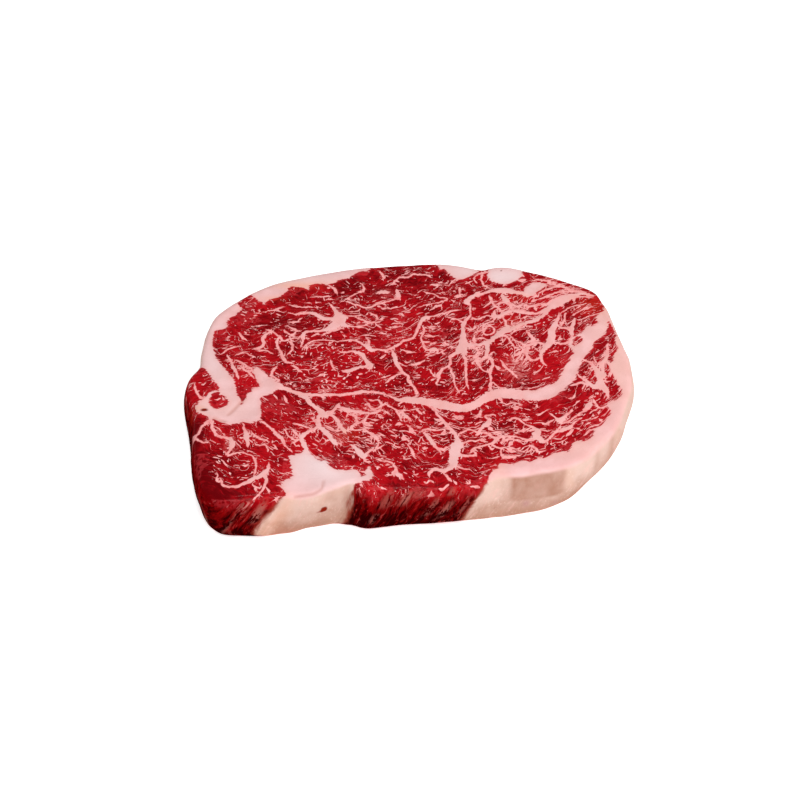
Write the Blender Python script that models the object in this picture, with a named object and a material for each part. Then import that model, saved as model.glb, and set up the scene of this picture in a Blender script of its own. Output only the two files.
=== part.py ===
"""A raw ribeye steak: one thick slice of rib, cut flat on both faces and resting on its underside.

The slice is drawn in plan by its rim. The wall below the rim leans and bulges as fat and meat settle,
the cut face is cushioned over each muscle, and the fat seams between the muscles lie a little lower.
Lengths in the tables are millimetres, and everything that reaches Blender is in metres.
"""

import math

import bmesh
import bpy
import numpy as np
from mathutils import Vector, noise

MM = 0.001
THICKNESS = 25.4
CENTRE = (3.3, 3.4)  # middle of the drawing's box, which becomes the origin
EDGE_RADIUS = 2.2  # rounding between a cut face and the wall
LEAN_REACH = 20.0  # how far in from the rim the wall's lean pulls the faces along
SQUARES_ACROSS = 62  # squares of skin from left to right
SQUARES_DEEP = 44  # and from front to back
EDGE_ROWS = 2  # rows of squares round each rounded edge
WALL_ROWS = 5  # rows of squares up the wall between them
CURVE_STEPS = 16  # samples of a drawn curve between two of its points
FACE_RIPPLES = ((0.8, 34.0), (0.35, 11.0))  # height and size of the swells of the upper face
WALL_RIPPLE = (0.6, 9.0)  # height and size of the swells of the wall
RELIEF_DEPTH = 5.0  # how far down from the upper face its relief fades out

# The rim of the upper face, anticlockwise: x, y, then how far the wall's foot and its belly stand out.
RIM = (
    # left muscle, from its notch with the fat band to the front corner
    (-84.8, 9.0, 0.0, 0.5),
    (-88.0, 2.5, 2.5, 4.0),
    (-88.6, -6.0, 2.0, 3.0),
    (-85.6, -18.0, 3.8, 1.5),
    (-84.0, -38.0, 2.2, 1.5),
    (-81.4, -51.0, 0.6, 1.0),
    (-78.2, -61.5, -0.8, 0.8),
    (-72.5, -67.5, -2.0, 0.5),
    # front: meat, the wedge of fat with its hollow foot, the notch, the lobed cap muscle
    (-64.0, -69.0, -3.0, 0.0),
    (-47.0, -67.3, -1.5, 0.5),
    (-38.5, -67.5, -5.5, -0.5),
    (-31.5, -65.2, -5.0, -1.0),
    (-25.0, -61.6, -2.0, 0.0),
    (-18.6, -60.4, 2.0, -0.5),
    (-13.0, -62.6, 0.0, 1.0),
    (-4.0, -62.9, -1.5, 0.5),
    (5.0, -62.0, -1.8, 0.0),
    (15.0, -63.0, -3.6, 0.0),
    (27.0, -61.6, -4.0, 0.0),
    (34.5, -59.6, -2.0, 0.0),
    # the fat cap, round the right end
    (40.0, -56.0, 1.0, 1.0),
    (51.0, -54.4, 0.0, 1.0),
    (63.0, -51.8, -1.4, 1.0),
    (74.0, -47.0, -4.2, 0.0),
    (83.5, -37.5, -6.2, 0.3),
    (90.2, -26.0, -7.0, 0.5),
    (95.2, -12.0, -6.5, 0.3),
    (98.2, 2.0, -4.5, 0.7),
    (97.0, 16.0, -3.0, 0.8),
    (93.0, 36.0, -2.0, 0.5),
    (89.9, 49.5, -2.0, 0.5),
    (84.6, 58.6, -2.0, 0.5),
    # back: the fibrous end of the eye, two knobs of fat, bare meat, the thin fat band
    (66.0, 67.5, -1.5, 0.5),
    (48.0, 72.8, -1.5, 0.5),
    (41.5, 72.6, -1.5, 0.5),
    (37.0, 71.0, -1.5, 0.0),
    (31.0, 72.8, -1.5, 0.5),
    (18.0, 75.4, -2.0, 0.5),
    (-4.0, 74.4, -2.0, 0.5),
    (-29.0, 70.6, -2.0, 0.5),
    (-52.5, 63.2, -2.0, 0.5),
    (-70.3, 51.9, -2.0, 0.5),
    (-81.8, 37.8, -2.0, 0.5),
    (-84.9, 19.5, -1.5, 0.5),
)

# Rows of the rim at which its front, right, back and left sides begin.
SIDES = (7, 24, 31, 41)

# Fat seams on the upper face: half width, depth of the dip, and the line that each follows.
SEAMS = (
    # under the eye muscle, from the left kernel of fat up to the right shoulder
    (2.0, 0.7, ((-57, 2), (-51, -4), (-42, -8.5), (-25, -9.5), (-8, -9.5), (5, -12), (18, -16),
                (27, -18.5), (34, -15), (41, -10.5), (56, -10), (66, -8), (73, 3), (80, 16), (88, 30))),
    # the kernel itself, its hook to the left wall and the band along the back
    (3.2, 0.6, ((-57, 1), (-58, -9), (-60, -18), (-68, -22), (-78, -16), (-85, -16))),
    (2.6, 0.6, ((-66, -18), (-70, -8), (-78, 6), (-82, 20), (-78, 36), (-66, 50))),
    # the wedge at the front and the seam that climbs from it between the two lower muscles
    (5.5, 0.5, ((-37, -44), (-38, -54), (-30, -58), (-18, -56))),
    (1.6, 0.6, ((-36, -40), (-36, -30), (-42, -20), (-48, -8))),
    # short seams inside the cap
    (1.4, 0.5, ((-36, -14), (-28, -25), (-22, -34))),
    (1.6, 0.5, ((21, -34), (23, -44), (19, -51))),
    # veins that open out the shoulder end of the eye
    (1.3, 0.5, ((20, 8), (27, 20), (38, 26), (47, 32), (60, 40), (78, 52))),
    (1.3, 0.5, ((-43, 40), (-32, 36), (-26, 34), (-28, 44))),
)
# Creases that run down the wall where fat meets meat: x, y, half width, depth.
WALL_CREASES = ((-18.6, -60.6, 2.6, 1.2), (37.2, -57.6, 3.0, 0.8), (-48.0, -67.3, 3.0, 0.6))
CREASE_FADE = 6.0  # how far in from the rim such a crease and the wall's bulges still show


def smooth_loop(rows, steps):
    """A closed Catmull-Rom curve through the rows, with the same number of steps between each two."""
    rows = np.array(rows, float)
    before, after, beyond = (np.roll(rows, shift, axis=0) for shift in (1, -1, -2))
    found = []
    for t in np.arange(steps) / steps:
        found.append(0.5 * (2 * rows + (after - before) * t
                            + (2 * before - 5 * rows + 4 * after - beyond) * t ** 2
                            + (3 * rows - before - 3 * after + beyond) * t ** 3))
    return np.stack(found, axis=1).reshape(-1, rows.shape[1])


def smooth_line(points):
    """An open Catmull-Rom curve through the points."""
    points = np.array(points, float)
    ends = 2 * points[[0, -1]] - points[[1, -2]]
    looped = smooth_loop(np.vstack([ends[:1], points, ends[1:]]), CURVE_STEPS)
    return looped[CURVE_STEPS:-2 * CURVE_STEPS + 1]


def distance_to(line, plan):
    """How far each point in plan is from a curve given by close samples."""
    return np.sqrt(((plan[:, None, :] - line[None, :, :]) ** 2).sum(axis=2).min(axis=1))


def rim_beside(plan):
    """For each point in plan: its distance from the rim, and the rim's outward normal, foot and belly."""
    rim = smooth_loop(RIM, CURVE_STEPS)
    nearest = ((plan[:, None, :] - rim[None, :, :2]) ** 2).sum(axis=2).argmin(axis=1)
    along = np.roll(rim[:, :2], -2, axis=0) - np.roll(rim[:, :2], 2, axis=0)
    along /= np.linalg.norm(along, axis=1)[:, None]
    outward = np.stack([along[:, 1], -along[:, 0]], axis=1)[nearest]
    distance = np.abs(((plan - rim[nearest, :2]) * outward).sum(axis=1))
    return distance, outward, rim[nearest, 2], rim[nearest, 3]


def rim_side(number, squares):
    """Evenly spaced points along one of the rim's four sides."""
    first, last = SIDES[number], SIDES[(number + 1) % len(SIDES)]
    loop = np.roll(smooth_loop(RIM, CURVE_STEPS)[:, :2], -first * CURVE_STEPS, axis=0)
    run = loop[:(last - first) % len(RIM) * CURVE_STEPS + 1]
    gone = np.append(0, np.cumsum(np.linalg.norm(np.diff(run, axis=0), axis=1)))
    even = np.linspace(0, gone[-1], squares + 1)
    return np.stack([np.interp(even, gone, run[:, axis]) for axis in (0, 1)], axis=1)


def face_net():
    """The plan of a net of squares that fills the rim, each knot settled midway between its neighbours."""
    front = rim_side(0, SQUARES_ACROSS)
    right = rim_side(1, SQUARES_DEEP)
    back = rim_side(2, SQUARES_ACROSS)[::-1]
    left = rim_side(3, SQUARES_DEEP)[::-1]
    share = np.linspace(0, 1, SQUARES_DEEP + 1)[:, None, None]
    net = (1 - share) * front + share * back
    net[:, 0] = left
    net[:, -1] = right
    for _ in range(10 * SQUARES_ACROSS):
        net[1:-1, 1:-1] = (net[:-2, 1:-1] + net[2:, 1:-1] + net[1:-1, :-2] + net[1:-1, 2:]) / 4
    return net


def wall_heights():
    """Heights of the rows of knots down the wall, closer together round the two edges."""
    turn = np.linspace(0, math.pi / 2, EDGE_ROWS + 1)[1:]
    edge = EDGE_RADIUS * (1 - np.cos(turn))
    middle = np.linspace(THICKNESS - EDGE_RADIUS, EDGE_RADIUS, WALL_ROWS + 1)[1:-1]
    return [*(THICKNESS - edge), *middle, *edge[::-1], 0]


def slab():
    """The slice as it leaves the knife: the net as its upper face, walls drawn down from it, a flat sole."""
    net = face_net()
    form = bmesh.new()
    bmesh.ops.create_grid(form, x_segments=SQUARES_ACROSS, y_segments=SQUARES_DEEP, size=0.5)
    for vertex in form.verts:
        column = round((vertex.co.x + 0.5) * SQUARES_ACROSS)
        row = round((vertex.co.y + 0.5) * SQUARES_DEEP)
        vertex.co = Vector((*net[row, column], THICKNESS)) * MM
    ring = [edge for edge in form.edges if edge.is_boundary]
    for height in wall_heights():
        drawn = bmesh.ops.extrude_edge_only(form, edges=ring)["geom"]
        for vertex in (item for item in drawn if isinstance(item, bmesh.types.BMVert)):
            vertex.co.z = height * MM
        ring = [item for item in drawn if isinstance(item, bmesh.types.BMEdge) and item.is_boundary]
    bmesh.ops.holes_fill(form, edges=ring, sides=0)
    bmesh.ops.recalc_face_normals(form, faces=form.faces)
    mesh = bpy.data.meshes.new("steak")
    form.to_mesh(mesh)
    form.free()
    return mesh


def lean_wall(points):
    """Rounds the edges, pushes the wall to its foot and belly, and lets the faces follow near the rim."""
    distance, outward, foot, belly = rim_beside(points[:, :2])
    height = points[:, 2] / THICKNESS
    out = foot * (1 - height) * (1 - 2 * height) + belly * 4 * height * (1 - height)
    near_edge = 1 - np.minimum(points[:, 2], THICKNESS - points[:, 2]) / EDGE_RADIUS
    out -= EDGE_RADIUS * (1 - np.sqrt(1 - np.clip(near_edge, 0, 1) ** 2))
    share = np.clip(1 - distance / LEAN_REACH, 0, 1) ** 2
    points[:, :2] += outward * (out * share)[:, None]


def ripple(points, size, seed):
    """Smooth noise from -1 to 1 at each point, with features of about the given size."""
    shift = Vector((31.7, 17.3, 5.9)) * seed
    return np.array([noise.noise(Vector(point) / size + shift) for point in points])


def relieve_face(points, plan):
    """Cushions the upper face and lowers it along the fat seams."""
    upper = np.clip(1 - (THICKNESS - points[:, 2]) / RELIEF_DEPTH, 0, 1)
    lift = sum(high * ripple(points, size, seed) for seed, (high, size) in enumerate(FACE_RIPPLES, 1))
    for half_width, depth, line in SEAMS:
        lift -= depth * np.exp(-(distance_to(smooth_line(line), plan) / half_width) ** 2)
    points[:, 2] += upper * lift


def relieve_wall(points, plan):
    """Swells the wall gently and creases it where fat meets meat."""
    distance, outward = rim_beside(plan)[:2]
    high, size = WALL_RIPPLE
    swell = high * ripple(points * (1, 1, 0.5), size, len(FACE_RIPPLES) + 1)
    for x, y, half_width, depth in WALL_CREASES:
        swell -= depth * np.exp(-(np.hypot(plan[:, 0] - x, plan[:, 1] - y) / half_width) ** 2)
    share = np.clip(1 - distance / CREASE_FADE, 0, 1)
    points[:, :2] += outward * (share * swell)[:, None]


def raw_meat():
    """Fresh beef with its fat, as one colour."""
    material = bpy.data.materials.new("raw_meat")
    material.use_nodes = True
    shader = material.node_tree.nodes["Principled BSDF"]
    shader.inputs["Base Color"].default_value = (0.46, 0.07, 0.08, 1)
    shader.inputs["Roughness"].default_value = 0.38
    shader.inputs["Metallic"].default_value = 0
    return material


def main():
    for obj in list(bpy.data.objects):
        bpy.data.objects.remove(obj)
    collection = bpy.data.collections.new("ribeye_steak")
    bpy.context.scene.collection.children.link(collection)

    mesh = slab()
    points = np.empty(len(mesh.vertices) * 3)
    mesh.vertices.foreach_get("co", points)
    points = points.reshape(-1, 3) / MM
    plan = points[:, :2].copy()
    lean_wall(points)
    relieve_face(points, plan)
    relieve_wall(points, plan)
    points[:, :2] -= CENTRE
    mesh.vertices.foreach_set("co", (points * MM).ravel())
    mesh.materials.append(raw_meat())
    mesh.shade_smooth()
    collection.objects.link(bpy.data.objects.new("steak", mesh))


main()
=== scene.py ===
"""Looks of a raw, marbled ribeye steak that lies on a pale table in soft studio light.

Lengths are in metres, and in millimetres where a name or a table says so. Plan positions are those of the
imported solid: x along the steak, y across it, with the middle of the footprint at the origin.
"""

import math
from types import SimpleNamespace

import bmesh
import bpy
import numpy as np
from mathutils.bvhtree import BVHTree
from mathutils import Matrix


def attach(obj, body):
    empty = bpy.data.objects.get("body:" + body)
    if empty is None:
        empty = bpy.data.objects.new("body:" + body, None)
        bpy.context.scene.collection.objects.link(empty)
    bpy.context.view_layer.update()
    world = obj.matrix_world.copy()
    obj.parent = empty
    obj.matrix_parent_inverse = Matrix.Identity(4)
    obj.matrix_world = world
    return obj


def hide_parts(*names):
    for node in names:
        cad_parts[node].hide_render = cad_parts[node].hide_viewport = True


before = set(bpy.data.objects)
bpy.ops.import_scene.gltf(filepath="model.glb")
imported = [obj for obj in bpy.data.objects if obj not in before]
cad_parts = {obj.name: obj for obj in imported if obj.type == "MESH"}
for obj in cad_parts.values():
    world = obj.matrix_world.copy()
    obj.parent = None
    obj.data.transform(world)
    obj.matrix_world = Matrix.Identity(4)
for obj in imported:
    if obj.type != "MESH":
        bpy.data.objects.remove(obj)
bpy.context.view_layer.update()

# The steak: one slice of rib beef, three muscles held together by seams of fat, cut across the fibres.
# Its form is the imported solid's, remeshed finely and evenly so that every seam and vein can be laid on it.
MM = 0.001
THICKNESS = 25.4     # millimetres from the sole to the marbled upper face
MESH_STEP = 0.82     # millimetres between the knots of the fine mesh
CURVE_STEPS = 5      # samples on each stretch of a drawn line
FAT_REACH = 6.0      # millimetres from fat beyond which the distance to it no longer matters
SEAM_LEAN = (        # how far each seam moves towards +x per millimetre that it rises, by plan x
    (-95, 0.75), (-58, 0.7), (-50, 0.42), (-20, 0.34), (30, 0.55), (95, 0.35))

# The view in which the places below are read: from the front and down at 45 degrees, as the camera has it.
# They are picture points, to the right and down in a square of 800.
AIM = (-3.3 * MM, -3.4 * MM, 12.7 * MM)
DISTANCE = 0.72
ELEVATION = math.radians(45)
EYE = (AIM[0], AIM[1] - DISTANCE * math.cos(ELEVATION), AIM[2] + DISTANCE * math.sin(ELEVATION))
LENS = 76.0     # millimetres
SENSOR = 36.0   # millimetres across the picture
PICTURE = 800   # picture points across it

# Broad fat, as closed loops: places on the slice, then plan places well past the rim, so that the fat
# covers the wall there.
FAT_AREAS = (
    # the band down the left of the eye and, joined to it, the kernel with its arm to the left side
    (((240, 305), (242, 310), (237, 315), (230, 319), (228, 324), (226, 329), (221, 330), (216, 332),
      (215, 338), (214, 345), (216, 352), (219, 360), (224, 367), (229, 373), (234, 379), (236, 386),
      (238, 393), (241, 400), (243, 404), (246, 398), (249, 392), (254, 389), (260, 386), (257, 380),
      (254, 374), (253, 369), (257, 367), (262, 370), (268, 374), (272, 378), (277, 383), (279, 388),
      (272, 394), (264, 396), (262, 402), (262, 410), (261, 417), (259, 421), (252, 423), (245, 422),
      (238, 424), (230, 425), (222, 422), (216, 419), (211, 420), (208, 417), (203, 415), (197, 412),
      (195, 408), (198, 404), (199, 402), (205, 399), (208, 394), (214, 391), (220, 391), (218, 385),
      (213, 380), (208, 373), (203, 367)),
     ((-96, 14), (-112, 24), (-104, 50), (-80, 62), (-77, 48))),
    # the thicker fat along the back, left of the middle
    (((252, 296), (256, 299), (261, 302), (264, 305), (268, 300), (274, 299), (279, 298), (282, 295),
      (287, 292), (289, 288), (295, 287), (303, 288), (309, 290), (310, 286), (314, 284), (321, 284),
      (328, 285), (334, 283), (340, 280), (348, 278), (355, 275), (362, 272), (368, 271.5)),
     ((-14, 82), (-60, 88), (-82, 60))),
    # two knobs of fat at the back, right of the middle
    (((438, 268), (444, 270), (449, 274), (453, 278), (458, 279.5), (464, 279.5), (469, 277), (474, 274),
      (479, 270)),
     ((33, 84), (14, 84))),
    (((488, 270), (488, 276), (490, 280), (495, 283), (502, 284), (510, 283), (516, 281), (521, 278),
      (523, 274), (522, 271)),
     ((54, 84), (38, 84))),
    # the fat edge round the right end
    (((603, 312), (609, 321), (613, 327), (616, 334), (615, 340), (617, 347), (614, 355), (612, 362),
      (610, 369), (613, 376), (618, 384), (622, 391), (620, 397), (611, 402), (607, 406), (611, 412),
      (607, 418), (603, 424), (597, 427), (593, 430), (592, 436), (585, 441), (578, 441), (573, 443),
      (571, 448), (568, 452), (560, 451), (552, 454), (545, 458), (538, 458), (531, 463), (525, 461),
      (519, 462), (512, 464), (505, 463), (500, 464), (497, 468), (492, 471), (489, 477)),
     ((31.5, -64), (31, -86), (60, -96), (108, -84), (140, -20), (132, 44), (100, 62))),
    # the broad seam that rises from under the eye to the right shoulder, ragged above
    (((524, 391), (532, 391), (538, 389), (546, 385), (554, 383), (560, 376), (565, 367), (570, 358),
      (573, 351), (569, 346), (571, 340), (576, 335), (583, 331), (586, 326), (590, 321), (596, 317),
      (601, 312), (606, 315), (609, 321), (608, 330), (603, 337), (596, 342), (592, 350), (586, 357),
      (582, 364), (579, 371), (575, 379), (569, 386), (562, 392), (554, 397), (540, 400), (524, 399.5)),
     ()),
    # the wedge between the two lower muscles, which opens on the front wall
    (((357, 486), (360, 483), (366, 481), (372, 479), (374, 475), (372, 470), (369, 467), (366, 469),
      (364, 473), (362, 476), (360, 471), (355, 469), (348, 470), (340, 470), (333, 469), (329, 465),
      (325, 460), (321, 460), (315, 457), (310, 453), (307, 449), (301, 453), (295, 455), (289, 456),
      (291, 463), (291, 470), (292, 475), (288, 479), (283, 481), (280, 485), (284, 490), (286, 495)),
     ((-50, -72), (-49, -92), (-18, -92), (-17.5, -66))),
    # the pale lens at the shoulder end of the eye
    (((522, 295), (524, 291), (527, 286), (533, 283), (541, 283), (549, 285), (544, 288), (538, 292),
      (533, 296), (527, 297)),
     ()),
)
# Morsels of lean that the broad fat encloses.
LEAN_MORSELS = (
    # one inside the kernel's arm
    ((211, 398), (215, 394.5), (220, 395), (224, 398), (228, 402), (226, 405), (220, 408), (215, 406),
     (212, 402)),
    # two in the broad seam, and one in the wedge
    ((573, 344), (576, 339), (580, 338), (580, 341), (576, 345)),
    ((589, 323.5), (591, 319), (596, 319.5), (596, 322.5), (592, 325)),
    ((360, 470), (363, 470), (363, 473), (362, 475.5)),
)
# Seams of fat: each place with the half width there, in tenths of a millimetre.
FAT_SEAMS = (
    # from the kernel under the eye to the broad seam
    ((270, 384, 26), (280, 387, 18), (290, 390.5, 14), (300, 394, 13), (310, 395.5, 12), (330, 395, 12),
     (345, 395, 10), (355, 393.5, 11), (362, 391.7, 13), (370, 392, 10), (378, 393, 7), (386, 395, 6),
     (394, 398, 10), (400, 400, 16), (410, 400, 20), (420, 401.5, 22), (430, 403, 24), (440, 405, 25),
     (450, 407, 26), (460, 408.5, 24), (468, 408, 22), (475, 405, 20), (482, 401, 21), (488, 397, 24),
     (495, 394.5, 28), (505, 394.5, 29), (520, 395, 30), (535, 396, 30)),
    # the slanting seam below it, which forks twice
    ((303, 396, 15), (309, 401, 14), (315, 407, 15), (322, 413, 18), (326, 416, 15), (331, 413, 10),
     (338, 405, 11)),
    ((322, 414, 14), (318, 419, 11), (320, 426, 13), (325, 431, 15), (330, 437, 16), (335, 443, 14)),
    ((329, 412, 11), (336, 419, 12), (341, 426, 12), (345, 431, 14)),
    # neck of the wedge
    ((320, 427, 12), (312, 430, 11), (306, 433, 12), (301, 438, 14), (304, 444, 14), (307, 450, 16)),
    # the nearly level seam
    ((338, 405, 11), (343, 409, 11), (350, 411, 12), (358, 412, 11), (366, 413, 11), (374, 413, 11),
     (379, 411, 9), (382, 406, 8), (386, 403, 5)),
    # from the kernel down to the wedge
    ((262, 422, 7), (270, 427, 8), (276, 434, 11), (282, 440, 11), (286, 446, 7), (291, 451, 4)),
    # the upright seam in the cap, fed from above, with its foot to the left
    ((436, 412, 8), (440, 417, 10), (445, 423, 11), (450, 429, 11), (454, 434, 12), (458, 440, 15),
     (457, 445, 22), (455, 450, 24), (454, 456, 23), (453, 462, 20), (452, 467, 17), (446, 470, 14),
     (440, 471, 11), (434, 469, 11), (430, 472, 10), (429, 476, 7)),
    # the thick seam at the shoulder end, with a second below
    ((520, 313, 8), (528, 313, 12), (535, 314, 9), (542, 312, 12), (550, 308, 18), (557, 304, 23),
     (564, 300, 21), (572, 298, 14), (582, 297, 9), (592, 298, 4)),
    ((506, 330, 20), (511, 330, 16), (518, 326, 12), (527, 323, 13), (536, 320, 15), (543, 316, 13),
     (549, 311, 12)),
    # the pale band along the back of the shoulder
    ((478, 295, 9), (485, 293, 11), (492, 291, 15), (500, 290.5, 19), (508, 291, 19), (516, 292, 17),
     (523, 293, 16)),
    # main branch a
    ((478, 293, 12), (471, 298, 15), (467, 302, 17), (470, 305, 9), (471, 311, 7), (470, 317, 9),
     (465, 321, 11), (463, 326, 13), (464, 331, 14), (463, 338, 15), (464, 344, 22), (462, 349, 26),
     (456, 354, 14), (451, 357, 11), (451, 362, 8), (450, 366, 8), (443, 369, 9), (440, 373, 10),
     (439, 378, 9), (438, 384, 5)),
    # main branch b
    ((464, 345, 18), (470, 345, 13), (478, 345, 12), (486, 343, 14), (493, 339, 15), (500, 334, 18),
     (506, 330, 22)),
    # main branch f
    ((559, 314, 4), (558, 319, 8), (556, 324, 15), (552, 330, 19), (552, 336, 19), (550, 342, 19),
     (545, 348, 16), (541, 354, 13), (541, 360, 11), (545, 365, 6)),
    # star
    ((330, 304, 5), (334, 309, 11), (338, 314, 19), (340, 320, 29), (336, 325, 25), (330, 328, 19),
     (322, 331, 11), (314, 331, 8), (306, 332, 11), (303, 335, 14), (303, 340, 8), (301, 346, 3)),
    # arc
    ((220, 479, 4), (222, 484, 7), (228, 487, 9), (235, 487, 10), (243, 484, 11), (251, 480, 14),
     (258, 477, 15), (264, 473, 15), (268, 468, 11), (269, 464, 4)),
)
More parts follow.
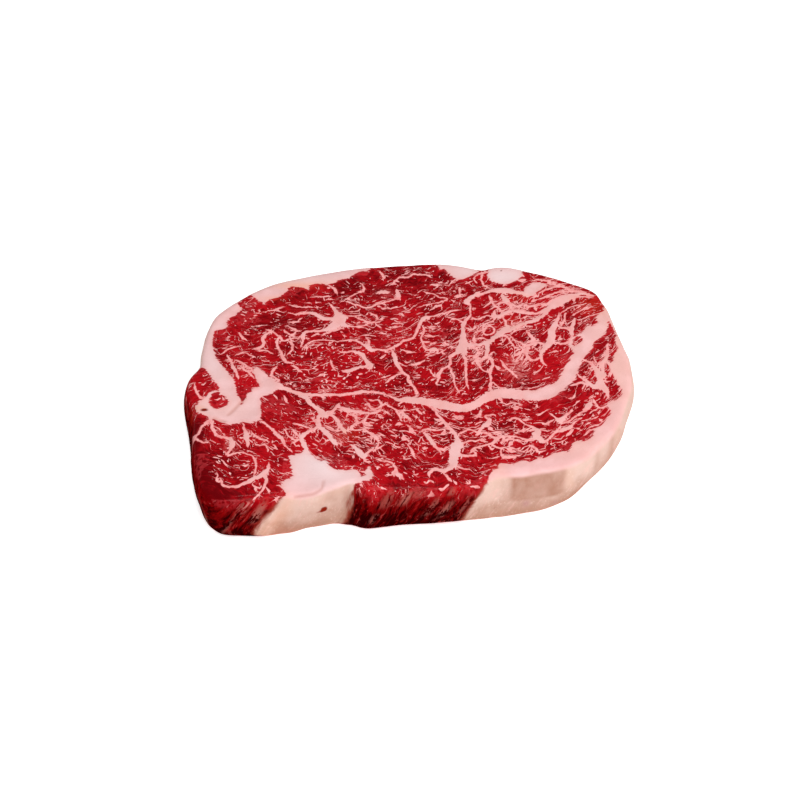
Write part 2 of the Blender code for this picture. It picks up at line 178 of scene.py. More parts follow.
# Veins within the muscles, finer and more broken than the seams.
VEINS = (
    # arms of the star
    ((337, 319, 14), (328, 319, 11), (322, 318, 14), (317, 315, 13), (311, 313, 11), (306, 313, 8),
     (296, 314, 4)),
    ((343, 324, 16), (347, 326, 11), (353, 327, 6), (362, 326, 5), (372, 323, 4), (382, 321, 3)),
    ((342, 316, 11), (348, 316, 6), (354, 316, 5), (361, 315, 3)),
    ((323, 335, 6), (329, 332, 9), (336, 330, 9), (344, 328, 6)),
    # the upper left of the eye
    ((272, 331, 6), (267, 334, 10), (264, 339, 9), (265, 344, 9), (260, 348, 9), (255, 349, 5)),
    ((268, 330, 4), (273, 332, 5), (278, 336, 4)),
    ((260, 351, 5), (266, 351, 6), (272, 353, 4)),
    ((280, 337, 8), (278, 341, 9), (278, 347, 8), (281, 352, 7), (283, 358, 9), (287, 362, 9),
     (292, 363, 4)),
    ((280, 337, 6), (284, 341, 5), (289, 340, 6), (294, 338, 6), (299, 339, 3)),
    ((289, 341, 6), (293, 345, 8), (292, 350, 7), (288, 354, 4)),
    ((285, 331, 4), (289, 334, 6), (293, 335, 7), (296, 331, 3)),
    ((240, 334, 6), (244, 338, 8), (247, 340, 3)),
    ((222, 354, 3), (227, 350, 5), (232, 348, 4), (240, 346, 2.5)),
    ((228, 356, 4), (231, 362, 8), (234, 368, 11), (237, 373, 8), (238, 378, 3)),
    ((237, 360, 4), (243, 363, 5), (250, 368, 5), (253, 372, 3)),
    ((240, 366, 3), (247, 371, 6), (254, 377, 6)),
    ((237, 355, 3), (243, 353, 4), (248, 354, 3), (254, 357, 4)),
    ((276, 367, 7), (273, 370, 8), (272, 375, 8), (276, 378, 6), (279, 380, 7)),
    ((291, 366, 3), (295, 367, 8), (300, 371, 8)),
    ((290, 313, 3), (297, 314, 5), (305, 312, 4)),
    ((290, 305, 3), (300, 307, 4), (312, 307, 3)),
    ((268, 311, 3), (277, 309, 5), (283, 307, 3)),
    ((303, 349, 3), (307, 344, 4), (313, 341, 4), (322, 340, 3), (335, 341, 3)),
    ((307, 350, 3), (309, 346, 4), (315, 345, 3), (321, 344, 2)),
    ((288, 326, 3), (296, 330, 5), (300, 331, 3)),
    ((290, 322, 3), (296, 322, 4), (301, 319, 4)),
    ((312, 297, 3), (320, 297, 5), (330, 296, 3)),
    ((329, 286, 4), (335, 289, 9), (337, 293, 5)),
    # the middle of the eye
    ((340, 341, 3), (350, 340, 4), (358, 341, 5), (363, 344, 9), (368, 347, 15), (372, 350, 13),
     (378, 350, 9), (386, 350, 8), (392, 348, 9), (398, 345, 9), (404, 341, 9), (410, 339, 8),
     (415, 336, 9), (418, 330, 8), (421, 323, 11), (424, 319, 13), (430, 317, 8), (437, 315, 7),
     (445, 313, 5), (452, 311, 5), (460, 310, 3)),
    ((355, 352, 10), (360, 353, 13), (364, 358, 12), (368, 363, 14), (372, 365, 14), (370, 368, 10),
     (363, 367, 9), (357, 368, 12), (350, 371, 12), (344, 371, 8)),
    ((341, 352, 6), (348, 352, 7), (356, 351, 9)),
    ((367, 338, 4), (369, 343, 8), (370, 348, 11)),
    ((392, 350, 9), (395, 355, 11), (396, 361, 14), (399, 367, 11), (403, 372, 9), (408, 376, 8),
     (411, 381, 8), (412, 386, 3)),
    ((387, 382, 5), (391, 379, 7), (396, 376, 7), (400, 374, 5)),
    ((331, 361, 3), (332, 365, 5), (334, 368, 4), (336, 370, 3)),
    ((346, 300, 3), (352, 296, 5), (358, 293, 6), (363, 291, 8), (364, 287, 5), (361, 284, 3)),
    ((342, 301, 4), (348, 302, 5), (354, 304, 7), (360, 306, 5), (368, 308, 6), (375, 305, 7),
     (382, 303, 5), (392, 300, 5), (399, 298, 3)),
    ((355, 317, 4), (362, 320, 5), (368, 322, 7), (376, 322, 5)),
    ((371, 313, 3), (376, 316, 5), (379, 320, 3)),
    ((377, 325, 5), (380, 327, 5)),
    ((397, 291, 9), (399, 296, 12), (400, 299, 6)),
    ((379, 293, 10), (384, 292, 14), (388, 292, 8)),
    ((380, 272, 3), (383, 275, 8), (384, 277, 5)),
    ((391, 285, 3), (394, 282, 5), (398, 278, 3)),
    ((400, 277, 5), (408, 277, 7), (413, 274, 7), (420, 275, 7), (428, 275, 5), (431, 277, 3)),
    ((433, 285, 9), (438, 285, 10)),
    ((459, 293, 5), (460, 289, 7)),
    ((425, 292, 3), (432, 294, 4), (440, 297, 4), (447, 299, 4), (441, 302, 4), (430, 304, 4),
     (420, 307, 3)),
    ((424, 327, 4), (424, 333, 6), (422, 339, 5), (424, 345, 7), (427, 350, 7), (434, 349, 13),
     (437, 350, 10)),
    ((412, 365, 6), (419, 364, 9), (424, 361, 5)),
    ((402, 350, 3), (408, 352, 6), (415, 352, 4)),
    ((427, 355, 4), (432, 353, 3), (440, 353, 4), (445, 350, 3)),
    ((408, 379, 7), (411, 384, 8), (415, 389, 8), (418, 393, 7)),
    ((431, 370, 3), (434, 375, 4), (438, 378, 4)),
    # the net at the shoulder end
    ((470, 317, 5), (477, 319, 5), (484, 317, 6), (491, 316, 6), (496, 318, 10)),
    ((462, 321, 4), (455, 319, 4), (447, 317, 3)),
    ((465, 350, 13), (465, 356, 10), (466, 362, 9), (466, 368, 7), (466, 374, 6), (467, 381, 5),
     (468, 388, 3)),
    ((450, 366, 5), (452, 370, 5), (454, 376, 4), (454, 382, 4), (457, 388, 4), (459, 392, 3)),
    ((468, 347, 7), (473, 348, 7), (477, 350, 8), (479, 354, 5)),
    ((466, 356, 4), (471, 356, 4), (475, 356, 6), (477, 361, 9), (479, 364, 9), (480, 368, 5)),
    ((487, 344, 13), (487, 350, 14), (486, 355, 11), (481, 360, 9), (478, 362, 7)),
    ((486, 356, 9), (491, 359, 9), (492, 365, 9), (490, 371, 8), (490, 378, 6), (490, 386, 5),
     (491, 391, 5)),
    ((481, 361, 4), (480, 367, 4), (484, 371, 5), (490, 372, 4)),
    ((480, 327, 4), (487, 323, 5), (493, 321, 6), (496, 317, 11)),
    ((477, 332, 4), (482, 330, 5), (489, 326, 6), (494, 328, 6), (494, 332, 6), (489, 335, 5),
     (484, 333, 5), (486, 328, 4)),
    ((474, 336, 5), (474, 341, 5), (475, 344, 5)),
    ((476, 339, 4), (483, 338, 5), (487, 340, 4)),
    ((503, 296, 11), (506, 300, 15), (508, 304, 9), (512, 308, 6)),
    ((490, 297, 7), (492, 302, 8), (496, 306, 9), (499, 309, 7), (503, 312, 6)),
    ((495, 305, 5), (500, 303, 6), (504, 302, 4)),
    ((495, 311, 6), (495, 317, 11), (499, 316, 11), (505, 313, 11), (511, 311, 11), (518, 312, 11),
     (526, 312, 7)),
    ((506, 325, 11), (505, 321, 7), (503, 318, 5)),
    ((551, 341, 13), (545, 344, 9), (538, 343, 9), (532, 344, 9), (528, 348, 9), (526, 354, 9),
     (529, 359, 8), (536, 360, 7), (540, 358, 7)),
    ((533, 347, 3), (538, 351, 3)),
    ((501, 334, 4), (507, 337, 7), (511, 342, 6), (515, 348, 6), (520, 347, 4)),
    ((519, 345, 3), (523, 351, 5), (526, 355, 5)),
    ((526, 347, 7), (521, 343, 6), (515, 341, 5), (510, 336, 4)),
    ((513, 333, 5), (518, 330, 4), (525, 329, 3)),
    ((527, 332, 7), (531, 336, 9), (533, 340, 9), (528, 343, 9)),
    ((565, 313, 4), (565, 319, 6), (563, 323, 5), (562, 326, 5)),
    ((561, 328, 7), (566, 328, 7), (571, 331, 8), (572, 336, 8), (570, 341, 8), (565, 344, 8),
     (560, 344, 6), (555, 342, 5)),
    ((574, 320, 11), (572, 327, 11), (572, 334, 11)),
    ((501, 361, 4), (505, 367, 8), (511, 372, 7), (516, 377, 6)),
    ((493, 383, 5), (498, 387, 4), (505, 388, 3)),
    # long curved strokes of the shoulder
    ((549, 284, 5), (556, 285, 5), (563, 287, 5), (570, 289, 3)),
    ((540, 293, 5), (548, 289, 8), (556, 287, 6), (566, 288, 5), (575, 290, 4)),
    ((540, 299, 5), (550, 295, 7), (560, 292, 8), (570, 291, 7), (580, 291, 6), (590, 293, 4)),
    ((535, 306, 7), (545, 304, 7), (553, 300, 8), (562, 296, 9), (572, 295, 11), (582, 294, 12),
     (592, 295, 9)),
    ((510, 310, 7), (516, 310, 8), (524, 311, 8)),
    ((508, 302, 3), (516, 306, 5), (522, 308, 3)),
    ((521, 305, 4), (530, 306, 5), (540, 304, 5)),
    ((533, 281, 4), (541, 280, 5), (550, 282, 5), (560, 284, 4), (570, 288, 3)),
    ((573, 315, 3), (580, 311, 4), (586, 309, 4), (592, 307, 3)),
    ((581, 320, 3), (588, 317, 4), (594, 315, 4), (600, 313, 3)),
    ((563, 312, 3), (572, 307, 3.5), (582, 305, 2.5)),
    ((476, 282, 4), (474, 278, 4), (478, 275, 4), (481, 272, 3)),
    ((482, 275, 4), (481, 280, 5), (484, 285, 4), (488, 287, 3)),
    # the net beside the right fat edge
    ((583, 359, 4), (590, 363, 7), (595, 368, 11), (598, 374, 15), (600, 380, 19), (598, 386, 20),
     (592, 386, 15), (588, 382, 11), (581, 377, 5), (577, 373, 4)),
    ((600, 380, 17), (603, 386, 19), (606, 391, 15), (608, 396, 9)),
    ((600, 364, 10), (604, 361, 12), (607, 356, 11), (607, 350, 7), (608, 345, 5)),
    ((604, 362, 9), (602, 370, 11), (603, 377, 13)),
    ((608, 363, 11), (611, 369, 9), (610, 375, 8)),
    ((573, 385, 9), (580, 383, 9), (587, 384, 11)),
    ((594, 357, 3), (596, 362, 4)),
    ((594, 400, 4), (596, 405, 7), (600, 408, 7), (606, 406, 7), (612, 404, 5)),
    ((584, 409, 7), (589, 406, 17), (592, 402, 7)),
    ((561, 424, 4), (568, 421, 5), (576, 416, 6), (583, 412, 6), (590, 407, 9)),
    # the cap
    ((551, 414, 4), (556, 418, 7), (560, 420, 17), (567, 415, 5), (571, 410, 4)),
    ((555, 432, 6), (563, 430, 11), (570, 428, 11), (573, 424, 7), (577, 421, 4)),
    ((527, 425, 5), (533, 428, 9), (538, 431, 15), (536, 435, 19), (541, 440, 15), (545, 442, 9),
     (550, 438, 7), (556, 432, 7), (561, 427, 5)),
    ((500, 438, 7), (508, 437, 9), (515, 437, 7), (522, 439, 6), (529, 440, 7), (535, 440, 11)),
    ((532, 446, 7), (536, 449, 8), (538, 452, 5), (545, 451, 3)),
    ((508, 420, 3), (514, 418, 5), (520, 420, 6), (525, 424, 4)),
    ((505, 405, 3), (512, 403, 6), (520, 404, 4)),
    ((513, 407, 4), (521, 408, 3)),
    ((424, 433, 8), (428, 437, 12), (432, 443, 12), (436, 448, 8), (440, 453, 4)),
    ((420, 432, 4), (427, 429, 6), (434, 430, 6), (440, 430, 5), (448, 428, 3)),
    ((459, 434, 4), (465, 431, 6), (470, 430, 5), (478, 432, 7), (486, 433, 8)),
    ((480, 430, 9), (484, 426, 13), (488, 424, 13), (490, 420, 9), (486, 417, 6), (492, 415, 5)),
    ((489, 434, 6), (493, 437, 9), (497, 439, 10), (493, 443, 9), (487, 445, 8), (480, 446, 7),
     (474, 448, 7), (471, 452, 6)),
    ((461, 446, 11), (464, 443, 8), (469, 441, 6), (476, 441, 5), (482, 439, 3)),
    ((460, 454, 9), (464, 456, 9), (470, 456, 8), (476, 455, 6), (473, 451, 4)),
    ((499, 437, 8), (505, 437, 8), (512, 437, 6)),
    ((494, 446, 4), (500, 448, 6), (506, 448, 4)),
    ((481, 411, 7), (479, 416, 7), (474, 417, 4)),
    ((501, 451, 5), (503, 456, 8), (509, 458, 8), (516, 456, 4)),
    ((455, 466, 9), (462, 468, 6), (468, 469, 3)),
    ((444, 474, 5), (447, 477, 7), (450, 480, 5)),
    # the lower middle
    ((368, 404, 4), (371, 408, 5), (377, 409, 5), (381, 405, 5), (378, 400, 4), (371, 400, 4)),
    ((386, 404, 4), (391, 407, 5), (396, 411, 6), (399, 415, 5), (401, 420, 3)),
    ((383, 411, 4), (388, 413, 6), (391, 415, 3)),
    ((352, 414, 5), (356, 417, 7), (357, 422, 7), (352, 427, 9), (350, 430, 5)),
    ((357, 424, 5), (362, 422, 7), (366, 418, 6), (369, 415, 4)),
    ((349, 430, 4), (356, 430, 5), (363, 430, 5), (369, 432, 5), (375, 437, 10), (378, 441, 5),
     (377, 447, 6), (374, 450, 4)),
    ((352, 446, 9), (356, 449, 13), (361, 454, 16), (364, 457, 14), (367, 453, 9), (372, 450, 6),
     (377, 449, 5), (383, 446, 4)),
    ((363, 457, 9), (365, 460, 7), (368, 462, 4)),
    ((378, 460, 4), (385, 461, 6), (391, 463, 6), (395, 467, 7), (396, 471, 9), (392, 474, 7),
     (387, 475, 4)),
    ((393, 473, 8), (398, 475, 12), (402, 478, 5)),
    ((402, 412, 7), (406, 416, 11), (410, 419, 7)),
    ((418, 410, 5), (421, 413, 6)),
    ((408, 426, 6), (411, 430, 9), (414, 433, 5)),
    ((405, 437, 5), (409, 441, 5)),
    ((408, 445, 3), (411, 450, 7), (414, 455, 5)),
    ((313, 419, 7), (316, 422, 9), (319, 426, 11)),
    ((294, 431, 5), (297, 435, 8), (300, 438, 9)),
    ((295, 424, 5), (302, 425, 6), (309, 428, 5), (314, 431, 5)),
    ((293, 443, 4), (297, 441, 6), (301, 438, 10)),
    ((285, 430, 4), (290, 437, 6), (295, 440, 6)),
    # the left muscle
    ((264, 473, 10), (266, 480, 11), (264, 487, 8), (260, 493, 6), (256, 498, 4)),
    ((253, 485, 3), (256, 488, 5), (262, 489, 3)),
    ((254, 474, 4), (256, 468, 5), (256, 461, 5), (253, 457, 4), (247, 454, 4), (240, 452, 4),
     (234, 454, 4), (228, 456, 5), (225, 452, 3)),
    ((217, 474, 3), (217, 480, 4), (220, 483, 4)),
    ((244, 424, 3), (245, 430, 8), (247, 437, 13), (248, 444, 9), (248, 446, 3)),
    ((232, 438, 9), (232, 444, 17), (231, 449, 9), (228, 454, 5)),
    ((212, 421, 9), (213, 428, 9), (215, 434, 8), (222, 437, 7), (230, 438, 8)),
    ((211, 420, 7), (207, 423, 7), (202, 427, 6), (199, 433, 7), (197, 437, 5), (202, 442, 5),
     (208, 443, 3)),
    ((252, 432, 3), (256, 436, 5), (262, 439, 4), (268, 441, 3)),
    ((195, 384, 3), (196, 391, 5), (200, 396, 6), (205, 398, 6)),
    ((260, 446, 3), (265, 445, 4), (268, 450, 4)),
)
# Thin creases in the fat.
CREASES = (
    ((244, 400, 2), (238.5, 406.5, 3), (233.5, 411.5, 3), (229.5, 415, 2)),
    ((214.5, 418.5, 3), (219, 420.5, 4), (226, 421.5, 2)),
    ((296, 496.5, 1), (311, 494.5, 2), (318, 491.5, 2), (322, 488, 1), (324, 481.5, 1)),
)
# Half widths are drawn out to each line's blurred edge: the drawn ones, and the firm ones they stand for,
# both in millimetres. Creases keep theirs.
TENTH = 0.1
SEAM_WIDTHS = ((0.53, 1.6, 2.2, 3.0), (0.35, 1.06, 2.09, 2.85))
VEIN_WIDTHS = ((0.3, 0.5, 0.6, 2.0), (0.28, 0.45, 0.45, 1.48))
CREASE_WIDTHS = ((0, 1), (0, 1))

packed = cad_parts["steak"].data
solid = BVHTree.FromPolygons([knot.co for knot in packed.vertices],
                             [face.vertices for face in packed.polygons])


def plan_place(right, down):
    """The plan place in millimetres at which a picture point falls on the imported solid."""
    across = (right - PICTURE / 2) * SENSOR / LENS / PICTURE
    upward = (PICTURE / 2 - down) * SENSOR / LENS / PICTURE
    sight = (across, upward * math.sin(ELEVATION) + math.cos(ELEVATION),
             upward * math.cos(ELEVATION) - math.sin(ELEVATION))
    place = solid.ray_cast(EYE, sight)[0]
    return place.x / MM, place.y / MM


def plan_lines(lines, widths):
    """Drawn lines laid on the plan: rows of x, y and firm half width."""
    return [[(*plan_place(right, down), np.interp(width * TENTH, *widths)) for right, down, width in line]
            for line in lines]


def closed_curve(rows):
    """A closed Catmull-Rom curve through the rows."""
    rows = np.array(rows, float)
    before, after, beyond = (np.roll(rows, shift, axis=0) for shift in (1, -1, -2))
    found = []
    for t in np.arange(CURVE_STEPS) / CURVE_STEPS:
        found.append(0.5 * (2 * rows + (after - before) * t
                            + (2 * before - 5 * rows + 4 * after - beyond) * t ** 2
                            + (3 * rows - before - 3 * after + beyond) * t ** 3))
    return np.stack(found, axis=1).reshape(-1, rows.shape[1])


def open_curve(rows):
    """An open Catmull-Rom curve through the rows."""
    rows = np.array(rows, float)
    ends = 2 * rows[[0, -1]] - rows[[1, -2]]
    looped = closed_curve(np.vstack([ends[:1], rows, ends[1:]]))
    return looped[CURVE_STEPS:-2 * CURVE_STEPS + 1]


def near_box(plan, shape):
    """The plan points that lie within FAT_REACH of a shape's own box."""
    low, high = shape.min(axis=0) - FAT_REACH, shape.max(axis=0) + FAT_REACH
    return np.flatnonzero(((plan > low) & (plan < high)).all(axis=1))


NEARLY_NOUGHT = 1e-9  # stands in for a nought that would be divided by


def gap_to(points, start, end):
    """How far points are from a straight stretch, and how far along it, from 0 to 1, each comes nearest."""
    span = end - start
    along = np.clip(((points - start) @ span) / max(span @ span, NEARLY_NOUGHT), 0, 1)
    return np.hypot(*(points - start - along[:, None] * span).T), along


def beside_lines(plan, lines):
    """For each plan point, how far outside the nearest line's own width it is, its place to one side of
    the line's middle, and the line's half width there."""
    outside, aside, half_width = np.full((3, len(plan)), FAT_REACH)
    for rows in lines:
        line = open_curve(rows)
        found = near_box(plan, line[:, :2])
        points = plan[found]
        for start, end in zip(line[:-1], line[1:]):
            gap, along = gap_to(points, start[:2], end[:2])
            width = start[2] + along * (end[2] - start[2])
            span_x, span_y = end[:2] - start[:2]
            turn = span_x * (points[:, 1] - start[1]) - span_y * (points[:, 0] - start[0])
            closer = gap - width < outside[found]
            outside[found[closer]] = (gap - width)[closer]
            aside[found[closer]] = np.copysign(gap, turn)[closer]
            half_width[found[closer]] = width[closer]
    return outside, aside, half_width


def outside_areas(plan, areas):
    """How far each plan point is outside the nearest closed area, negative within one."""
    nearest = np.full(len(plan), FAT_REACH)
    for rows in areas:
        loop = closed_curve(rows)
        found = near_box(plan, loop)
        points = plan[found]
        edge = np.full(len(found), np.inf)
        crossings = np.zeros(len(found), int)
        for start, end in zip(loop, np.roll(loop, -1, axis=0)):
            edge = np.minimum(edge, gap_to(points, start, end)[0])
            straddles = (start[1] > points[:, 1]) != (end[1] > points[:, 1])
            rise = (end[1] - start[1]) or NEARLY_NOUGHT
            reach = start[0] + (points[:, 1] - start[1]) * (end[0] - start[0]) / rise
            crossings += straddles & (points[:, 0] < reach)
        nearest[found] = np.minimum(nearest[found], np.where(crossings % 2, -edge, edge))
    return nearest


WELD = 0.01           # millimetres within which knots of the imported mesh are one
PAIRING_ANGLE = 0.7   # radians by which two triangles of a pair may be out of one plane
PAIRING_SHAPE = 1.2   # radians by which their four-sided face may be out of square
ROUNDINGS = 2         # times that the coarse faces are halved and rounded
SMOOTHING = 0.5       # share of the way that each knot of the fine mesh moves to its neighbours' middle
SMOOTHINGS = 6        # times that it does so


def fine_slice(name):
    """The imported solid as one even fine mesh: triangles paired, curves rounded, remeshed and smoothed."""
    form = bmesh.new()
    form.from_mesh(packed)
    bmesh.ops.remove_doubles(form, verts=form.verts, dist=WELD * MM)
    bmesh.ops.join_triangles(form, faces=form.faces, angle_face_threshold=PAIRING_ANGLE,
                             angle_shape_threshold=PAIRING_SHAPE)
    mesh = bpy.data.meshes.new(name)
    form.to_mesh(mesh)
    form.free()
    coarse = bpy.data.objects.new(name + "_coarse", mesh)
    bpy.context.collection.objects.link(coarse)
    rounding = coarse.modifiers.new("rounding", "SUBSURF")
    rounding.levels = rounding.render_levels = ROUNDINGS
    remesh = coarse.modifiers.new("remesh", "REMESH")
    remesh.mode = "VOXEL"
    remesh.voxel_size = MESH_STEP * MM
    remesh.use_smooth_shade = True
    smoothing = coarse.modifiers.new("smoothing", "SMOOTH")
    smoothing.factor = SMOOTHING
    smoothing.iterations = SMOOTHINGS
    settled = coarse.evaluated_get(bpy.context.evaluated_depsgraph_get())
    fine = bpy.data.meshes.new_from_object(settled)
    fine.name = name
    bpy.data.objects.remove(coarse)
    piece = bpy.data.objects.new(name, fine)
    bpy.context.collection.objects.link(piece)
    return piece


def vectors(mesh, name):
    """One vector of each knot of a mesh, such as its place or its normal."""
    values = np.empty(len(mesh.vertices) * 3)
    mesh.vertices.foreach_get(name, values)
    return values.reshape(-1, 3)


def share(values, low, high):
    """How far values have come from low, as 0, to high, as 1, where low may be the larger."""
    return np.clip((values - low) / (high - low), 0, 1)


SOFT, FIRM, FIRMER, BOXY = 2, 3, 4, 9  # firmness of a spot's edge, from a soft round one to nearly a box


def spread(plan, spots, firmness=SOFT):
    """Soft spots summed over the plan, at most 1: each is x, y, reach along x and y, and strength."""
    total = np.zeros(len(plan))
    for x, y, reach_x, reach_y, strength in spots:
        away = np.abs((plan[:, 0] - x) / reach_x) ** firmness
        away += np.abs((plan[:, 1] - y) / reach_y) ** firmness
        total += strength * np.exp(-away)
    return np.clip(total, 0, 1)


# The middle of the seam that parts the eye muscle from those in front of it: the grain turns there.
MUSCLE_DIVIDE = (
    (-95, -24), (-66, -22), (-58, -6), (-45, -12), (-23, -12), (-9, -12.6), (5, -16), (17, -19.5),
    (25, -20), (36, -12.6), (53, -13.5), (64, -6), (70, 3), (75, 15), (80, 27), (87, 37))
# How the strokes rise on each side of it: the x from which they rise, whether towards +x or -x, the rise
# per millimetre and the width of the bend.
EYE_RISE = (8, 1, 0.62, 16)
RIGHT_RISE = (58, 1, 0.9, 9)
LEFT_RISE = (8, -1, 0.45, 12)
SEAM_BEND = 0.5  # how far the strokes bend to follow a seam, per millimetre of gap to it


def soft_rise(x, start, way, slope, width):
    """A rise with this slope far beyond the start, and none far short of it, bending over the width."""
    return slope * width * np.logaddexp(0, way * (x - start) / width)


def grain_frame(plan, heights, gaps):
    """Coordinates that follow the marbling's strokes: along them, across them and up through the slice.
    Near a seam they bend to follow it, by each point's gap to the seam."""
    x, y = plan.T
    above = soft_rise(x, *EYE_RISE)
    beneath = soft_rise(x, *RIGHT_RISE) + soft_rise(x, *LEFT_RISE)
    rise = np.where(y > np.interp(x, *np.array(MUSCLE_DIVIDE).T), above, beneath)
    return np.stack([x, y - rise + SEAM_BEND * np.clip(gaps, 0, FAT_REACH), heights], axis=1)


# How the marbling differs from place to place on the cut face: x, y, reach along x and y, strength.
STREAKY = (
    (34, -34, 46, 14, 1.0), (-22, -40, 16, 14, 0.8), (62, 48, 26, 10, 0.9), (-20, 40, 34, 18, 0.35),
    (10, 25, 24, 18, 0.4), (-70, -45, 16, 18, 0.2), (79, -5, 7, 20, 0.6))
NETTED = ((40, 22, 28, 22, 1.0), (-24, -30, 18, 14, 0.8), (78, -4, 8, 20, 0.7), (-32, -2, 26, 10, 0.3))
SPECKLED = (
    (-32, -2, 26, 9, 1.0), (-42, 16, 18, 12, 0.7), (-70, -48, 14, 14, 0.45), (10, -10, 22, 8, 0.5),
    (-10, -50, 20, 10, 0.5))
PLAIN = ((-84, -52, 6, 18, 0.9), (-78, -66, 9, 6, 1.0), (-87, -36, 3, 10, 0.8), (-66, -70, 12, 4, 0.8))
DARK = ((-10, 58, 36, 10, 1.0), (-50, 35, 22, 14, 0.7), (-66, 28, 10, 8, 0.6), (10, 50, 30, 10, 0.5))
ORANGE = (
    (81, 43, 7, 6, 1.0), (46, 32, 5, 3, 0.6), (50, 48, 6, 3, 0.5), (-24, -36, 5, 4, 0.7),
    (-85.5, -20.2, 2.4, 1.4, 0.8), (-48, 56, 11, 2.2, 0.9), (-60, 47, 6, 2, 0.7),
    (-46.5, -70.5, 3, 2.5, 0.4), (36, -55, 4, 4, 0.4))
GREYED = (
    (46.2, 2.7, 4, 6, 0.9), (-10.4, 51.5, 3, 2, 0.8), (-71.4, -41.6, 1.8, 3.4, 0.9),
    (-26.6, -34.2, 2, 2, 0.7), (-29.2, -40.8, 2.2, 2.2, 0.7))
PITS = ((-83.8, -21.4, 1.7, 1.0, 1.2), (-33.8, 32.8, 0.9, 0.8, 0.7), (42.1, 65.8, 0.7, 0.7, 0.8))
LILAC = (
    (-33, -53, 16, 14, 1.0), (-82, 10, 8, 22, 0.6), (43, 62, 12, 6, 0.9), (-70, -20, 16, 10, 0.3),
    (-55, 62, 30, 8, 0.6), (25, 66, 9, 6, 0.6), (19, -46, 5, 10, 0.5))
PEACH = ((90, 10, 8, 34, 0.9), (70, -42, 24, 8, 0.6), (-46, 58, 20, 4, 0.8), (-78, -20, 12, 6, 0.4))
# Marks on the front wall: x, height, reach along x, reach up, strength.
WALL_PATCH = ((51.8, 18.4, 11.2, 7.4, 1.3),)
# Tan marks: stains, painted shade where the wedge's fat ends, and wide low marks that darken the foot.
WALL_TAN = (
    (-36, 12, 12, 13, 0.3), (83, 21, 1.6, 9, 0.6), (76.3, 18, 1.4, 9, 0.5), (79.5, 18, 3.4, 8, 0.2),
    (-24.5, 14, 2.2, 13, 0.8), (-30.6, 21.5, 3, 3, 0.5), (29, 9, 3.4, 7, 0.45), (-50, 9, 4, 8, 0.5),
    (-38, 5, 14, 5, 0.35), (56, 5, 22, 3, 0.35))
WALL_RED = ((-33.6, 15.5, 1.3, 1.6, 1.2), (-35.6, 14.7, 1.5, 0.7, 0.6), (35.1, 8.2, 1.3, 1.3, 0.35))
WALL_PALE = (
    (-59.4, 18, 1.7, 5.5, 1.0), (-65, 21.5, 2.2, 3.4, 0.6), (-8.3, 20, 2.2, 4.4, 0.5),
    (-0.8, 20, 1.6, 3.6, 1.0), (-14, 8.5, 1.3, 3, 0.5), (9.4, 15, 1.3, 6, 0.6), (15, 13.5, 1.5, 5, 0.8),
    (23, 15.5, 0.9, 6, 0.55), (17.3, 23.6, 1.4, 1.6, 0.7), (-72, 9.5, 0.8, 8, 0.4),
    (4.4, 22.5, 2.4, 2.4, 0.4))
WALL_PURPLE = ((47.7, 8.8, 1.6, 2.0, 0.8), (59.9, 5.6, 1.2, 1.4, 0.6), (84, 12, 5, 8, 0.25))
STREAK_LEAN = 0.45   # how far a pale streak on the wall leans towards +x per millimetre that it rises
SOLE_LEAN = 0.4      # how far the underside's seams stand towards -x of those above, per millimetre down
WALL_WEAVE = 0.9     # how much more quickly the grain changes up the wall than through the slice
MORSEL_GROWTH = 0.6  # millimetres by which the morsels of lean are wider than drawn
LEFT_BARE = 8        # millimetres by which the fat draws back on the left wall, in front, which is bare lean
FINE_SEAM = 3        # a seam bends the strokes less by this, per millimetre that its half width is under 1

# Shares that depend on how far a knot's normal has turned, from where they are 0 to where they are 1.
SOLE_TURN = (0, 0.5)       # downwards
WALL_TURN = (0.9, 0.45)    # up or down
FRONT_TURN = (0.92, 0.62)  # upwards
LEFT_TURN = (0.2, 0.7)     # towards -x
BACK_TURN = 0.2            # what faces the back by more than this is no part of the front

steak = fine_slice("marbled_steak")
knots = vectors(steak.data, "co") / MM
normals = vectors(steak.data, "normal")

# Each knot is looked up on the upper face, at the place from which its seams have leaned down to it.
sole = share(-normals[:, 2], *SOLE_TURN)
lean = (1 - sole) * np.interp(knots[:, 0], *np.array(SEAM_LEAN).T) + sole * SOLE_LEAN
below = THICKNESS - knots[:, 2]
plan = knots[:, :2] + np.stack([lean * below, 0 * below], axis=1)
areas = [[*(plan_place(*point) for point in seen), *beyond] for seen, beyond in FAT_AREAS]
morsels = [[plan_place(*point) for point in loop] for loop in LEAN_MORSELS]
lines = plan_lines(FAT_SEAMS, SEAM_WIDTHS) + plan_lines(VEINS, VEIN_WIDTHS)

wall = share(np.abs(normals[:, 2]), *WALL_TURN)
on_front = share(normals[:, 2], *FRONT_TURN) * (normals[:, 1] < BACK_TURN)
on_left_front = wall * share(-normals[:, 0], *LEFT_TURN) * (knots[:, 1] < 0)
broad = np.maximum(outside_areas(plan, areas), MORSEL_GROWTH - outside_areas(plan, morsels))
broad = broad + LEFT_BARE * on_left_front
seam_edge, seam_aside, seam_width = beside_lines(plan, lines)
fat_edge = np.minimum(broad, seam_edge + np.clip(FINE_SEAM * (1 - seam_width), 0, FAT_REACH))

